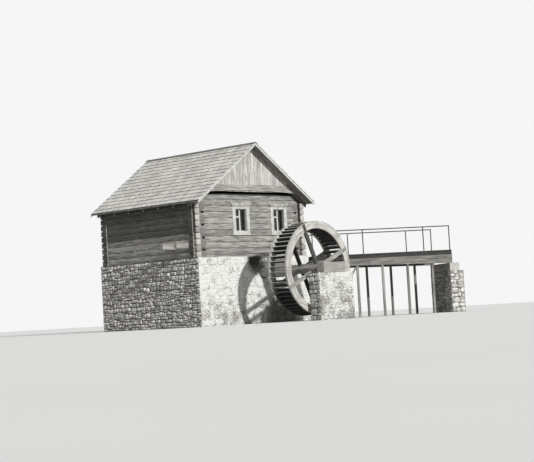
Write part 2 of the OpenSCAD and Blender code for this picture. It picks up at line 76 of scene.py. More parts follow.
def add(tree, kind, inputs={}, **settings):
    """Adds a shader node of a kind: its own properties from the settings, and its sockets wired."""
    node = tree.nodes.new("ShaderNode" + kind)
    for key, value in settings.items():
        setattr(node, key, value)
    wire(node, inputs)
    return node


# Settings of a mix node that multiplies a colour by a shade.
shaded = {"data_type": "RGBA", "blend_type": "MULTIPLY"}


def srgb(code):
    """Linear colour of an sRGB hex value: below 0.04045 a straight line, above it the power 2.4."""
    parts = [int(code[i:i + 2], 16) / 255 for i in (1, 3, 5)]
    return tuple(p / 12.92 if p <= 0.04045 else ((p + 0.055) / 1.055) ** 2.4 for p in parts) + (1.0,)


def blank(name):
    """A material with one shader, and the object coordinates that its patterns read."""
    mat = bpy.data.materials.new(name)
    mat.use_nodes = True
    tree = mat.node_tree
    return mat, tree, tree.nodes["Principled BSDF"], add(tree, "TexCoord").outputs["Object"]


def finish_with(finish, *names):
    """Gives CAD nodes a finish, in every material slot they have."""
    for name in names:
        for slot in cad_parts[name].material_slots:
            slot.link = "OBJECT"
            slot.material = finish


def tubes(name, rings, mat, tone=None, smooth=False):
    """Closed pieces from an array of copies x rings x sides x 3 points: quads between neighbouring rings and one
    flat face on each end ring. If the enclosed volume comes out negative, the rings run the other way round. The
    tone is one shade for each copy."""
    copies, count, sides = rings.shape[:3]
    near = np.arange(count - 1)[:, None] * sides + np.arange(sides)
    side = np.arange(count - 1)[:, None] * sides + (np.arange(sides) + 1) % sides
    quads = np.stack([near, side, side + sides, near + sides], axis=-1).reshape(-1, 4)
    caps = np.stack([np.arange(sides)[::-1], (count - 1) * sides + np.arange(sides)])
    first = rings[0].reshape(-1, 3) - rings[0].reshape(-1, 3).mean(axis=0)
    a, b, c, d = first[quads].transpose(1, 0, 2)
    volume = np.einsum("ij,ij->", a, np.cross(b, c)) + np.einsum("ij,ij->", a, np.cross(c, d))
    for cap in caps:
        fan = first[cap]
        volume += np.einsum("j,ij->", fan[0], np.cross(fan[1:-1], fan[2:]))
    if volume < 0:
        quads, caps = quads[:, ::-1], caps[:, ::-1]
    shift = np.arange(copies)[:, None, None] * count * sides
    mesh = bpy.data.meshes.new(name)
    mesh.from_pydata(rings.reshape(-1, 3), [],
                     (quads + shift).reshape(-1, 4).tolist() + (caps + shift).reshape(-1, sides).tolist())
    if smooth:
        mesh.polygons.foreach_set("use_smooth", np.ones(len(mesh.polygons), bool))
    if tone is not None:
        shades = np.repeat(np.asarray(tone, float), count * sides)
        mesh.attributes.new("tone", "FLOAT", "POINT").data.foreach_set("value", shades)
    mesh.materials.append(mat)
    piece = bpy.data.objects.new(name, mesh)
    bpy.context.scene.collection.objects.link(piece)
    return piece


def rubble_cells(width, height, stone):
    """Left, right, foot and top of stones laid in rough courses: courses 0.4 to 1 times the stone's size high,
    each cut into stones 0.4 to 1.5 times as long. A third of them are split into two, one on the other, each is
    moved up or down a little, and slivers are left out."""
    rows, z = [], 0.0
    while z < height - 0.01:
        rise = min(stone * rng.uniform(0.4, 1.0), height - z)
        if height - z - rise < 0.4 * stone:
            rise = height - z
        cuts = np.cumsum(stone * rng.uniform(0.4, 1.5, int(2.6 * width / stone) + 2))
        cuts = np.concatenate([[0.0], cuts[cuts < width - 0.5 * stone], [width]])
        foot = np.full(len(cuts) - 1, z)
        rows.append(np.stack([cuts[:-1], cuts[1:], foot, foot + rise]))
        z += rise
    cells = np.concatenate(rows, axis=1)
    split = rng.random(cells.shape[1]) < 0.35
    part = cells[2] + rng.uniform(0.35, 0.65, cells.shape[1]) * (cells[3] - cells[2])
    lower, upper = np.array([*cells[:3], part])[:, split], np.array([*cells[:2], part, cells[3]])[:, split]
    cells = np.concatenate([cells[:, ~split], lower, upper], axis=1)
    cells[2:] += stone * rng.uniform(-0.12, 0.12, cells.shape[1])
    cells = np.clip(cells, 0, np.array([width, width, height, height])[:, None])
    smallest = 0.05
    return cells[:, np.minimum(cells[1] - cells[0], cells[3] - cells[2]) > smallest]


def stone_rings(cells, corner, along, out, relief, joint, uneven=0.2, turn=26):
    """Half sunk stones on a wall. Each is a superellipsoid: the sine of the latitude, raised to a power, times the
    relief, and its cosine times the rounded square of the longitude, times half the cell less the joint. Each has
    its own roundness, is turned a little round its middle, and is cut off at the wall's edges."""
    left, right, foot, top = cells
    lat = np.radians([-8, 14, 36, 58, 76])[:, None]
    lon = np.radians(np.arange(8) * 45.0 + 22.5) * np.sign(np.dot(np.cross(along, (0, 0, 1)), out))
    count = len(left)
    power = rng.uniform(0.5, 1.0, count)[:, None, None]
    spin = np.radians(rng.uniform(-turn, turn, count))[:, None, None]
    flat_x = np.sign(np.cos(lon)) * np.abs(np.cos(lon)) ** power
    flat_z = np.sign(np.sin(lon)) * np.abs(np.sin(lon)) ** power
    around_x = flat_x * np.cos(spin) - flat_z * np.sin(spin)
    around_z = flat_x * np.sin(spin) + flat_z * np.cos(spin)
    wide = np.cos(lat) ** 0.55
    high = np.sign(np.sin(lat)) * np.abs(np.sin(lat)) ** 0.8
    jolt = 1 + uneven * rng.uniform(-1, 1, (count, len(lat), len(lon)))
    half_x = ((right - left) / 2 - joint)[:, None, None] * jolt
    half_z = ((top - foot) / 2 - joint)[:, None, None] * jolt
    rise = relief * rng.uniform(0.45, 1.0, count)[:, None, None] * np.ones_like(jolt)
    tilt = rng.uniform(-0.35, 0.35, (2, count))[:, :, None, None]
    u, v = wide * around_x, wide * around_z
    lift = np.clip(high * (1 + tilt[0] * u + tilt[1] * v), -0.3, 1.0)
    there = np.clip(((left + right) / 2)[:, None, None] + u * half_x, 0, right.max())
    level = np.clip(((foot + top) / 2)[:, None, None] + v * half_z, 0, top.max())
    return np.array(corner, float) + there[..., None] * np.array(along, float) + \
        level[..., None] * np.array([0, 0, 1.0]) + (lift * rise)[..., None] * np.array(out, float)


# Field stone: matt granite and gneiss, each stone its own shade. Its speckle of 4 mm is drawn at 20 mm, to show.
stone_mat, tree, shader, place = blank("field_stone")
shade = add(tree, "Attribute", attribute_name="tone").outputs["Fac"]
speck = add(tree, "TexNoise", {"Vector": place, "Scale": 50.0, "Detail": 4.0, "Roughness": 0.7})
cloud = add(tree, "TexNoise", {"Vector": place, "Scale": 9.0, "Detail": 3.0})
body = add(tree, "Mix", {0: shade, 6: srgb("#94928C"), 7: srgb("#F4F2EC")}, data_type="RGBA")
mottle = add(tree, "MapRange", {"Value": speck, "From Min": 0.3, "From Max": 0.7, "To Min": 0.72, "To Max": 1.2})
patch = add(tree, "MapRange", {"Value": cloud, "From Min": 0.3, "From Max": 0.7, "To Min": 0.8, "To Max": 1.12})
both = add(tree, "Math", {0: mottle, 1: patch}, operation="MULTIPLY")
whole = add(tree, "Mix", {0: 1.0, 6: body, 7: both}, **shaded)
bump = add(tree, "Bump", {"Height": speck, "Strength": 0.5, "Distance": 0.006})
wire(shader, {"Base Color": whole, "Normal": bump, "Roughness": 0.88})

# Lime mortar: dusty, grey from weather, with sand of 2 to 5 mm drawn at 15 mm.
mortar_mat, tree, shader, place = blank("lime_mortar")
sand = add(tree, "TexNoise", {"Vector": place, "Scale": 65.0, "Detail": 3.0})
cloud = add(tree, "TexNoise", {"Vector": place, "Scale": 3.0, "Detail": 4.0})
both = add(tree, "Math", {0: sand, 1: cloud}, operation="MULTIPLY")
spread = add(tree, "MapRange", {"Value": both, "From Min": 0.12, "From Max": 0.4})
tint = add(tree, "Mix", {0: spread, 6: srgb("#5D5B57"), 7: srgb("#A19F99")}, data_type="RGBA")
bump = add(tree, "Bump", {"Height": sand, "Strength": 0.6, "Distance": 0.005})
wire(shader, {"Base Color": tint, "Normal": bump, "Roughness": 0.95})

finish_with(mortar_mat, "left_foundation", "right_foundation", "back_foundation", "bridge_abutments")
side_run, back_run, stone_top = 7.12, 7.48, 3.2
for name, corner, along, out, run in (
        ("left", (-0.04, -0.27, 0.0), (0, 1, 0), (-1, 0, 0), side_run),
        ("right", (7.44, -0.27, 0.0), (0, 1, 0), (1, 0, 0), side_run),
        ("back", (-0.04, 6.86, 0.0), (1, 0, 0), (0, 1, 0), back_run)):
    cells = rubble_cells(run, stone_top, stone=0.24)
    rings = stone_rings(cells, corner, along, out, relief=0.06, joint=0.008)
    stones = tubes(name + "_foundation_stones", rings, stone_mat,
                   tone=rng.uniform(0, 1, cells.shape[1]) ** 0.8, smooth=True)
    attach(stones, "mill")

bridge_deg = -34
bridge_turn = math.radians(bridge_deg)
bridge_x = np.array([math.cos(bridge_turn), math.sin(bridge_turn), 0])
bridge_y = np.array([-math.sin(bridge_turn), math.cos(bridge_turn), 0])
bridge_foot = np.array([7.7, -0.3, 0])
abutment_l, abutment_w = 0.7, 3.28
for name, start, head in (("near", 0.0, 2.24), ("far", 7.15, 2.11)):
    faces = []
    for x, y, along, out, run in ((start, -0.04, bridge_x, -bridge_y, abutment_l),
                                  (start, 3.24, bridge_x, bridge_y, abutment_l),
                                  (start, -0.04, bridge_y, -bridge_x, abutment_w),
                                  (start + abutment_l, -0.04, bridge_y, bridge_x, abutment_w)):
        corner = bridge_foot + x * bridge_x + y * bridge_y
        cells = rubble_cells(run, head, stone=0.26)
        faces.append(stone_rings(cells, corner, along, out, relief=0.03, joint=0.006))
    rings = np.clip(np.concatenate(faces), *solid_box)
    stones = tubes(name + "_abutment_stones", rings, stone_mat,
                   tone=rng.uniform(0, 1, len(rings)) ** 0.8, smooth=True)
    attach(stones, "mill")


# Limewashed masonry: the front foundation wall, with the shaft's round hole, and the outer pier beside the wheel.
# The same field stones, plastered flush and limewashed again and again, so only low swells show; the wash stops
# at the corners, and damp has greyed it low down.

def limewash(name, edge, worn, damp, painted_shades=()):
    """White wash where y is below `edge`, and plain mortar behind it. Worn and damp places turn it grey. Each of
    the
    painted shades darkens it: it keeps a share of its colour where the distance from its middle, less some noise,
    is under its reach."""
    mat, tree, shader, place = blank(name)
    apart = add(tree, "SeparateXYZ", {0: place})
    swell = add(tree, "TexNoise", {"Vector": place, "Scale": 2.6, "Detail": 6.0, "Roughness": 0.62})
    fleck = add(tree, "TexNoise", {"Vector": place, "Scale": 14.0, "Detail": 4.0, "Roughness": 0.7})
    low = add(tree, "MapRange", {"Value": apart.outputs["Z"], "From Max": damp, "To Min": -0.16, "To Max": 0.0})
    mean = add(tree, "Math", {0: swell, 1: fleck}, operation="ADD")
    total = add(tree, "Math", {0: mean, 1: low}, operation="ADD")
    clean = add(tree, "MapRange", {"Value": total, "From Min": worn - 0.11, "From Max": worn + 0.09})
    wash = add(tree, "Mix", {0: clean, 6: srgb("#8F8D87"), 7: srgb("#E9E8E3")}, data_type="RGBA")
    for middle, reach, share in painted_shades:
        off = add(tree, "VectorMath", {0: place, 1: middle}, operation="SUBTRACT")
        far = add(tree, "VectorMath", {0: off}, operation="LENGTH")
        ragged = add(tree, "Math", {0: swell, 1: -0.5, 2: far}, operation="MULTIPLY_ADD")
        # Painted shade: inside its reach the wash keeps only this share of its colour.
        painted_shade = add(tree, "MapRange", {"Value": ragged, "From Min": reach / 2 - 0.15, "From Max": reach - 0.15,
                                        "To Min": share})
        wash = add(tree, "Mix", {0: 1.0, 6: wash, 7: painted_shade}, **shaded)
    front = add(tree, "MapRange", {"Value": apart.outputs["Y"], "From Min": edge - 0.004,
                                   "From Max": edge + 0.004, "To Min": 1.0, "To Max": 0.0})
    whole = add(tree, "Mix", {0: front, 6: srgb("#6E6C67"), 7: wash}, data_type="RGBA")
    bump = add(tree, "Bump", {"Height": fleck, "Strength": 0.5, "Distance": 0.012})
    wire(shader, {"Base Color": whole, "Normal": bump, "Roughness": 0.92})
    return mat


# Limewash on a lime render: chalky white without gloss, mottled in patches of 70 to 400 mm. Painted shade darkens
# it round the shaft, blackest above it, and low down behind the wheel, where the wheel's shadow falls.
front_plane = -0.28
wall_wash = limewash("limewash_on_foundation", edge=-0.262, worn=0.86, damp=1.6,
                     painted_shades=(((3.74, front_plane, 2.93), 0.6, 0.22), ((3.6, front_plane, 3.12), 0.46, 0.12),
                             ((5.4, front_plane, 0.4), 1.3, 0.2)))
finish_with(wall_wash, "front_foundation")
# The swells keep clear of the shaft's hole. Its place is measured from the wall's left end, as the cells are.
hole_x, hole_z, hole_r = 4.24, 2.45, 0.31
cells = rubble_cells(back_run, stone_top, stone=0.42)
left, right, foot, top = cells
off_x = np.abs((left + right) / 2 - hole_x) - (right - left) / 2
off_z = np.abs((foot + top) / 2 - hole_z) - (top - foot) / 2
off_hole = np.hypot(np.maximum(off_x, 0), np.maximum(off_z, 0)) > hole_r
rings = stone_rings(cells[:, off_hole], (-0.04, front_plane, 0), (1, 0, 0), (0, -1, 0), relief=0.009,
                    joint=0.003)
swells = tubes("front_foundation_swells", rings, wall_wash, smooth=True)
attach(swells, "mill")

pier_low, pier_high = (np.array(corner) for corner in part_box("outer_pier"))
inset = 0.022
(x0, y0), (x1, y1) = pier_low[:2] + inset, pier_high[:2] - inset
ends = np.array([[x0, y0], [x1, y0], [x1, y1], [x0, y1]])
core = np.stack([np.column_stack([ends, np.full(4, z)]) for z in (pier_low[2], pier_high[2])])[None]
pier_wash = limewash("limewash_on_pier", edge=pier_low[1] + 0.05, worn=0.9, damp=2.0)
pier_core = tubes("pier_core", core, pier_wash)
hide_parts("outer_pier")
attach(pier_core, "mill")
long_x, long_y = pier_high[0] - pier_low[0] - 2 * inset, pier_high[1] - pier_low[1] - 2 * inset
for name, corner, along, out, run, finish, joint in (
        ("front", (x0, y0, 0), (1, 0, 0), (0, -1, 0), long_x, pier_wash, 0.004),
        ("left", (x0, y0, 0), (0, 1, 0), (-1, 0, 0), long_y, stone_mat, 0.008),
        ("right", (x1, y0, 0), (0, 1, 0), (1, 0, 0), long_y, stone_mat, 0.008),
        ("back", (x0, y1, 0), (1, 0, 0), (0, 1, 0), long_x, stone_mat, 0.008)):
    cells = rubble_cells(run, pier_high[2], stone=0.24)
    stones = tubes("pier_stones_" + name, stone_rings(cells, corner, along, out, inset, joint), finish,
                   tone=rng.uniform(0, 1, cells.shape[1]), smooth=True)
    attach(stones, "mill")


# Log walls of the mill room: pine logs of 0.29 by 0.27 m, hewn flat on four sides and lapped at the corners, where
# their tails stand out. Never painted: rain and sun have turned them grey, with streaks along the fibres and
# drying cracks.

def row_shade(tree, place, axis, start, pitch):
    """A shade from 0 to 1 for each of the like pieces that follow one another along an axis at this pitch."""
    apart = add(tree, "SeparateXYZ", {0: place})
    gone = add(tree, "Math", {0: apart.outputs[axis], 1: start}, operation="SUBTRACT")
    parts = add(tree, "Math", {0: gone, 1: pitch}, operation="DIVIDE")
    row = add(tree, "Math", {0: parts}, operation="FLOOR")
    return add(tree, "TexWhiteNoise", {"W": row}, noise_dimensions="1D")


def away(tree, value, middle):
    """How far a value is from a middle one, either way."""
    gone = add(tree, "Math", {0: value, 1: middle}, operation="SUBTRACT")
    return add(tree, "Math", {0: gone}, operation="ABSOLUTE")


def grain(tree, shader, place, shade, dark, light, turn=(0, 0, 0), streak=0.05, spread=0.3, rough=0.86):
    """Weathered wood with its fibres along x after a turn in degrees. The grain is noise drawn out 16 times along
    the fibres, at 14 mm for the rings of 2 mm and at the streak's width, moved by the shade so that no two boards
    match; fine cracks lie where a third noise crosses its middle value."""
    apart = add(tree, "VectorMath", {0: (7.1, 3.3, 5.7), "Scale": shade}, operation="SCALE")
    moved = add(tree, "VectorMath", {0: place, 1: apart}, operation="ADD")
    fibres = add(tree, "Mapping", {"Vector": moved, "Scale": (16.0, 1.0, 1.0),
                                   "Rotation": [math.radians(a) for a in turn]}, vector_type="TEXTURE")
    fine = add(tree, "TexNoise", {"Vector": fibres, "Scale": 70.0, "Detail": 4.0, "Roughness": 0.7})
    broad = add(tree, "TexNoise", {"Vector": fibres, "Scale": 1 / streak, "Detail": 3.0})
    split = add(tree, "TexNoise", {"Vector": fibres, "Scale": 9.0})
    patch = add(tree, "TexNoise", {"Vector": place, "Scale": 1.1, "Detail": 4.0, "Roughness": 0.6})
    wide = add(tree, "Math", {0: broad, 1: 1.4, 2: -0.2}, operation="MULTIPLY_ADD")
    level = add(tree, "Math", {0: fine, 1: 0.6, 2: wide}, operation="MULTIPLY_ADD")
    ripe = add(tree, "MapRange", {"Value": level, "From Min": 0.5, "From Max": 1.12})
    off_middle = away(tree, split, 0.5)
    crack = add(tree, "MapRange", {"Value": off_middle, "From Min": 0.002, "From Max": 0.009, "To Min": 0.35})
    own = add(tree, "MapRange", {"Value": shade, "To Min": 1 - spread / 2, "To Max": 1 + spread / 2})
    worn = add(tree, "MapRange", {"Value": patch, "From Min": 0.3, "From Max": 0.7, "To Min": 0.84, "To Max": 1.14})
    tint = add(tree, "Mix", {0: ripe, 6: srgb(dark), 7: srgb(light)}, data_type="RGBA")
    aged = add(tree, "Math", {0: own, 1: worn}, operation="MULTIPLY")
    aged = add(tree, "Math", {0: aged, 1: crack}, operation="MULTIPLY")
    whole = add(tree, "Mix", {0: 1.0, 6: tint, 7: aged}, **shaded)
    relief = add(tree, "Math", {0: level, 1: crack}, operation="ADD")
    bump = add(tree, "Bump", {"Height": relief, "Strength": 0.45, "Distance": 0.006})
    wire(shader, {"Base Color": whole, "Normal": bump, "Roughness": rough})
    return whole


def wood(name, row, dark, light, turn=(0, 0, 0), **looks):
    """A material of this grain. Its shades follow the row, as axis, start and pitch, or with no row the pieces' own
    tone."""
    mat, tree, shader, place = blank(name)
    own = row_shade(tree, place, *row) if row else add(tree, "Attribute", attribute_name="tone").outputs["Fac"]
    grain(tree, shader, place, own, dark, light, turn, **looks)
    return mat


# Hewn pine, weathered bare: silver grey, dull, its yearly rings of 2 mm drawn as streaks of 14 and 36 mm. The beds
# between the logs are dark with dust here and there. The tails' sawn ends show the rings, drawn at 24 mm round the
# heart: painted light makes them pale on the gables, painted shade dark on the sides. A painted shadow darkens
# the logs under the eaves above 4.5 m, and close under the gable's skirt.
# Given for each pair of walls: the foot of the logs; the turn of the grain; the axis across the walls and the one
# along them, each with its middle and how far off it the logs' hearts or ends are; the colour of the ends, painted
# light on one pair and painted shade on the other; and two heights, between which the painted shadow darkens the
# logs to a share.
house_w, house_l, log_h = 7.4, 6.58, 0.29
for name, first, turn, across, along, end_painted_light, shadow_band, walls in (
        ("hewn_pine_gable_logs", 3.085, (0, 0, 0), ("Y", house_l / 2, 3.155), ("X", house_w / 2, 3.7485),
         "#5E5C58", (6.18, 6.21, 0.1), ("front_log_wall", "back_log_wall")),
        ("hewn_pine_side_logs", 3.23, (0, 0, 90), ("X", house_w / 2, 3.565), ("Y", house_l / 2, 3.4685),
         "#DAD7CE", (4.05, 4.5, 0.28), ("left_log_wall", "right_log_wall"))):
    mat, tree, shader, place = blank(name)
    row = row_shade(tree, place, "Z", first, log_h)
    grey = grain(tree, shader, place, row, "#605E5A", "#C8C6BF", turn, streak=0.036)
    apart = add(tree, "SeparateXYZ", {0: place})
    gone = add(tree, "Math", {0: apart.outputs["Z"], 1: first}, operation="SUBTRACT")
    parts = add(tree, "Math", {0: gone, 1: log_h}, operation="DIVIDE")
    off_bed = add(tree, "Math", {0: parts, 1: 0.5}, operation="PINGPONG")
    dust = add(tree, "TexNoise", {"Vector": place, "Scale": 1.7, "Detail": 3.0})
    deep = add(tree, "MapRange", {"Value": dust, "From Min": 0.38, "From Max": 0.62,
                                  "To Min": 0.18, "To Max": 0.9})
    bed = add(tree, "MapRange", {"Value": off_bed, "From Min": 0.02, "From Max": 0.075, "To Min": deep})
    # Painted shadow: between the two heights the logs darken to the share, under the eaves and under the skirt.
    painted_shadow = add(tree, "MapRange", {"Value": apart.outputs["Z"], "From Min": shadow_band[0], "From Max": shadow_band[1],
                                    "To Min": 1.0, "To Max": shadow_band[2]})
    dust_and_shadow = add(tree, "Math", {0: bed, 1: painted_shadow}, operation="MULTIPLY")
    sides = add(tree, "Mix", {0: 1.0, 6: grey, 7: dust_and_shadow}, **shaded)
    offset = [add(tree, "Math", {0: apart.outputs[axis], 1: middle}, operation="SUBTRACT")
              for axis, middle, _ in (across, along)]
    distance = [add(tree, "Math", {0: value}, operation="ABSOLUTE") for value in offset]
    wide = add(tree, "Math", {0: distance[0], 1: across[2]}, operation="SUBTRACT")
    part = add(tree, "Math", {0: parts}, operation="FRACT")
    high = add(tree, "Math", {0: part, 1: log_h, 2: -log_h / 2}, operation="MULTIPLY_ADD")
    spoke = add(tree, "CombineXYZ", {0: wide, 1: high, 2: row})
    flat = add(tree, "CombineXYZ", {0: wide, 1: high})
    bent = add(tree, "TexNoise", {"Vector": spoke, "Scale": 12.0})
    radius = add(tree, "VectorMath", {0: flat}, operation="LENGTH")
    turned = add(tree, "Math", {0: radius, 1: 260.0}, operation="MULTIPLY")
    waved = add(tree, "Math", {0: bent, 1: 9.0, 2: turned}, operation="MULTIPLY_ADD")
    ring = add(tree, "Math", {0: waved}, operation="SINE")
    ringed = add(tree, "MapRange", {"Value": ring, "From Min": -1.0, "To Min": 0.82})
    heart = add(tree, "MapRange", {"Value": row, "To Min": 0.5})
    shade = add(tree, "Math", {0: ringed, 1: heart}, operation="MULTIPLY")
    # The ends' colour holds painted light: pale on the tails seen on the gables, and painted shade, dark, on those
    # seen on the sides.
    sawn = add(tree, "Mix", {0: 1.0, 6: srgb(end_painted_light), 7: shade}, **shaded)
    at_end = add(tree, "Math", {0: distance[1], 1: along[2]}, operation="GREATER_THAN")
    whole = add(tree, "Mix", {0: at_end, 6: sides, 7: sawn}, data_type="RGBA")
    crown = add(tree, "Math", {0: off_bed, 1: math.pi}, operation="MULTIPLY")
    swell = add(tree, "Math", {0: crown}, operation="SINE")
    fibre_bump = shader.inputs["Normal"].links[0].from_socket
    bow = add(tree, "Bump", {"Height": swell, "Distance": 0.022, "Normal": fibre_bump})
    wire(shader, {"Base Color": whole, "Normal": bow})
    finish_with(mat, *walls)


# Ends of round logs that show in the gable walls beside the corners, one for every second course. Each is sawn off
# just proud of the hewn face, and over it a near-black disc paints the shade of an open gap in the wall.

plug_x, plug_span, plug_foot = 0.61, 7.56, 3.08


def round_ends(name, mat, heights, wide, high, proud, sides=20):
    """Round plugs in both gable walls, near both corners: an ellipse at three depths, its last ring drawn in as a
    worn edge."""
    angle = np.arange(sides) * 2 * np.pi / sides
    rings = np.zeros((4, len(heights), 3, sides, 3))
    for k, (depth, size) in enumerate(((0.03, 1.0), (0.006 - proud, 1.0), (-proud, 0.93))):
        rings[..., k, :, 0] = plug_x + wide * size * np.cos(angle)
        rings[..., k, :, 1] = depth
        rings[..., k, :, 2] = np.array(heights)[:, None] + high * size * np.sin(angle)
    rings[1, ..., 0] = plug_span - rings[1, ..., ::-1, 0]
    rings[1, ..., 2] = rings[1, ..., ::-1, 2]
    rings[2:] = rings[:2, ..., ::-1, :]
    rings[2:, ..., 1] = house_l - rings[2:, ..., 1]
    return tubes(name, rings.reshape(-1, 3, sides, 3), mat)


# Sawn pine end grain: dusty grey, its uneven rings of 2 mm drawn at 31 mm.
mat, tree, shader, place = blank("pine_end_grain")
apart = add(tree, "SeparateXYZ", {0: place})
out_x = away(tree, apart.outputs["X"], plug_span / 2)
off_x = add(tree, "Math", {0: out_x, 1: plug_span / 2 - plug_x}, operation="SUBTRACT")
up = add(tree, "Math", {0: apart.outputs["Z"], 1: plug_foot}, operation="SUBTRACT")
turned = add(tree, "Math", {0: up, 1: log_h}, operation="PINGPONG")
off_z = add(tree, "Math", {0: turned, 1: log_h}, operation="SUBTRACT")
flat = add(tree, "CombineXYZ", {0: off_x, 1: off_z})
radius = add(tree, "VectorMath", {0: flat}, operation="LENGTH")
bent = add(tree, "TexNoise", {"Vector": place, "Scale": 14.0, "Detail": 4.0})
wave = add(tree, "Math", {0: radius, 1: 200.0}, operation="MULTIPLY")
waved = add(tree, "Math", {0: bent, 1: 12.0, 2: wave}, operation="MULTIPLY_ADD")
ring = add(tree, "Math", {0: waved}, operation="SINE")
ringed = add(tree, "MapRange", {"Value": ring, "From Min": -1.0})
tint = add(tree, "Mix", {0: ringed, 6: srgb("#5C5A56"), 7: srgb("#A3A19A")}, data_type="RGBA")
bump = add(tree, "Bump", {"Height": ring, "Strength": 0.4, "Distance": 0.004})
wire(shader, {"Base Color": tint, "Normal": bump, "Roughness": 0.9})
round_logs = round_ends("round_log_ends", mat, [3.37, 3.87, 4.47, 5.07, 5.66], wide=0.165, high=0.175,
                        proud=0.022)

# Painted shade in the gaps between the round logs: near black and without gloss, in flecks of 25 mm.
mat, tree, shader, place = blank("painted_shade_in_gaps")
gap_fleck = add(tree, "TexNoise", {"Vector": place, "Scale": 40.0, "Detail": 3.0})
tint = add(tree, "Mix", {0: gap_fleck, 6: srgb("#0E0D0C"), 7: srgb("#262422")}, data_type="RGBA")
wire(shader, {"Base Color": tint, "Roughness": 1.0})
# Near-black discs of painted shade, standing for the open gaps over the round log ends.
gap_shades = round_ends("round_log_gap_shades", mat, [3.59, 4.17, 4.78, 5.38], wide=0.1, high=0.052, proud=0.026)
for piece in (round_logs, gap_shades):
    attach(piece, "mill")


# Floor of the mill room: six sawn joists on the log walls, two of them running out past the left wall, and a
# floor of planks on top. The wheel's two bearing timbers are sawn from the same pine.

# Sawn pine, greyed where it is out in the rain: the saw's marks are gone, and the fibres stand up a little.
finish_with(wood("sawn_pine_joists", ("Y", -0.07, 0.97), "#83817B", "#BEBCB5", spread=0.12),
            "floor_joists", "outer_bearing", "inner_bearing")

# Pine floor planks of 0.18 m, scrubbed and dusty with flour.
finish_with(wood("pine_floor_planks", ("Y", 0.0, 0.18), "#6B6358", "#9A9184"), "floor_boards")


# Roof: seven pairs of rafters, rough boarding over them, and fifteen courses of split shingles on each slope.
# A shingle shows 0.32 m of its length and is 0.08 to 0.14 m wide, 24 mm thick at its lower edge; under the next
# course it runs out thin. Two boards cap the ridge.

lean_deg = 35.7
roof_pitch = math.radians(lean_deg)
up_slope = np.array([math.cos(roof_pitch), 0, math.sin(roof_pitch)])
off_slope = np.array([-math.sin(roof_pitch), 0, math.cos(roof_pitch)])

for side, lean in (("left", -lean_deg), ("right", lean_deg)):
    # Rafter pine, in the dry: darkened, with its grain along the slope.
    finish_with(wood("rafter_pine_" + side, ("Y", -0.5, 1.083), "#55524D", "#8B8780", (0, lean, 0)),
                side + "_rafters")
    # Rough pine boards of 0.16 m, laid up the slope: dark and dusty, seen only under the eaves and verges.
    finish_with(wood("rough_pine_" + side, ("Y", -0.69, 0.16), "#67645F", "#A8A59E", (0, lean, 0), spread=0.6),
                side + "_roof_boarding")

# Ridge boards of the same pine, out in the rain and grey.
finish_with(wood("pine_ridge_boards", ("X", house_w / 2, 9.0), "#4A4844", "#8A8882", (0, 0, 90)), "ridge_boards")

# Each shingle is three rings of four corners: at its lower edge, 0.1 m above it, and at its head, under the next
# course. Its two faces sink evenly towards the boarding over the part that shows, and its lower edge follows a slow
# wave along the eaves, with a little of its own.
eave_z, rafter_h, boards_h = 5.79, 0.14, 0.18
verge, back_verge = (corner[1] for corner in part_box("left_roof_covering"))
courses, abreast, first_x, ridge_x = 15, 72, -0.255, 3.698
run = 3.955 / courses
exposure, setback, hidden, half_gap, askew = run / math.cos(roof_pitch), 0.036, 0.045, 0.002, 0.004
for side, lean in (("left", -lean_deg), ("right", lean_deg)):
    # Split aspen shingles: pale silver where rain washes them, each its own shade, with the split grain along them.
    mat = wood("aspen_shingles_" + side, None, "#ABA9A3", "#ECEAE4", (0, lean, 0), streak=0.03, spread=0.34)

    widths = rng.uniform(0.09, 0.15, (courses, abreast))
    cuts = np.concatenate([np.zeros((courses, 1)), np.cumsum(widths, axis=1)], axis=1)
    cuts = verge + (back_verge - verge) * cuts / widths.sum(axis=1, keepdims=True)
    lefts, rights = (cuts[:, :-1] + half_gap).ravel(), (cuts[:, 1:] - half_gap).ravel()
    course = np.repeat(np.arange(courses), abreast)
    count = len(course)
    butt_x = first_x + course * run
    butt_z = eave_z + butt_x * math.tan(roof_pitch) + boards_h / math.cos(roof_pitch)
    butt = np.stack([butt_x, np.zeros(count), butt_z], axis=1)
    wave = 0.007 * (1 + np.sin(lefts * 2.4 + course * 1.7))
    low = setback + wave + rng.uniform(0, 0.012, count)
    reach = np.minimum(setback + exposure + hidden, (ridge_x - butt_x) / math.cos(roof_pitch) - 0.001)
    lift = np.where(course == courses - 1, 0, rng.uniform(-0.001, 0.004, count))
    along = np.stack([low, low + 0.1, reach], axis=1)
    along[:, 1] = np.minimum(along[:, 1], reach - 0.05)
    gone = (along - setback) / exposure
    top = 0.050 - 0.028 * gone + lift[:, None] * (1 - gone)
    foot = np.maximum(0.026 - 0.023 * gone, 0.001) + lift[:, None] * (1 - gone)
    skew = rng.uniform(-askew, askew, count)
    rings = np.zeros((count, 3, 4, 3))
    for k, (y, n, far) in enumerate(((lefts, foot, 0), (rights, foot, 1), (rights, top, 1), (lefts, top, 0))):
        there = along + np.array([1, 0, 0]) * (skew * far + askew)[:, None]
        rings[:, :, k] = butt[:, None] + there[..., None] * up_slope + n[..., None] * off_slope
        rings[:, :, k, 1] = y[:, None]
    if side == "right":
        rings[..., 0] = house_w - rings[..., 0]
    shingles = tubes(side + "_roof_shingles", rings, mat, tone=rng.uniform(0, 1, count))
    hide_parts(side + "_roof_covering")
    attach(shingles, "mill")


# Barge boards along the verges of both gables: planed pine, nailed to the ends of the boarding and painted white
# once. The paint is the same as on the window casings and the sashes, and as worn.

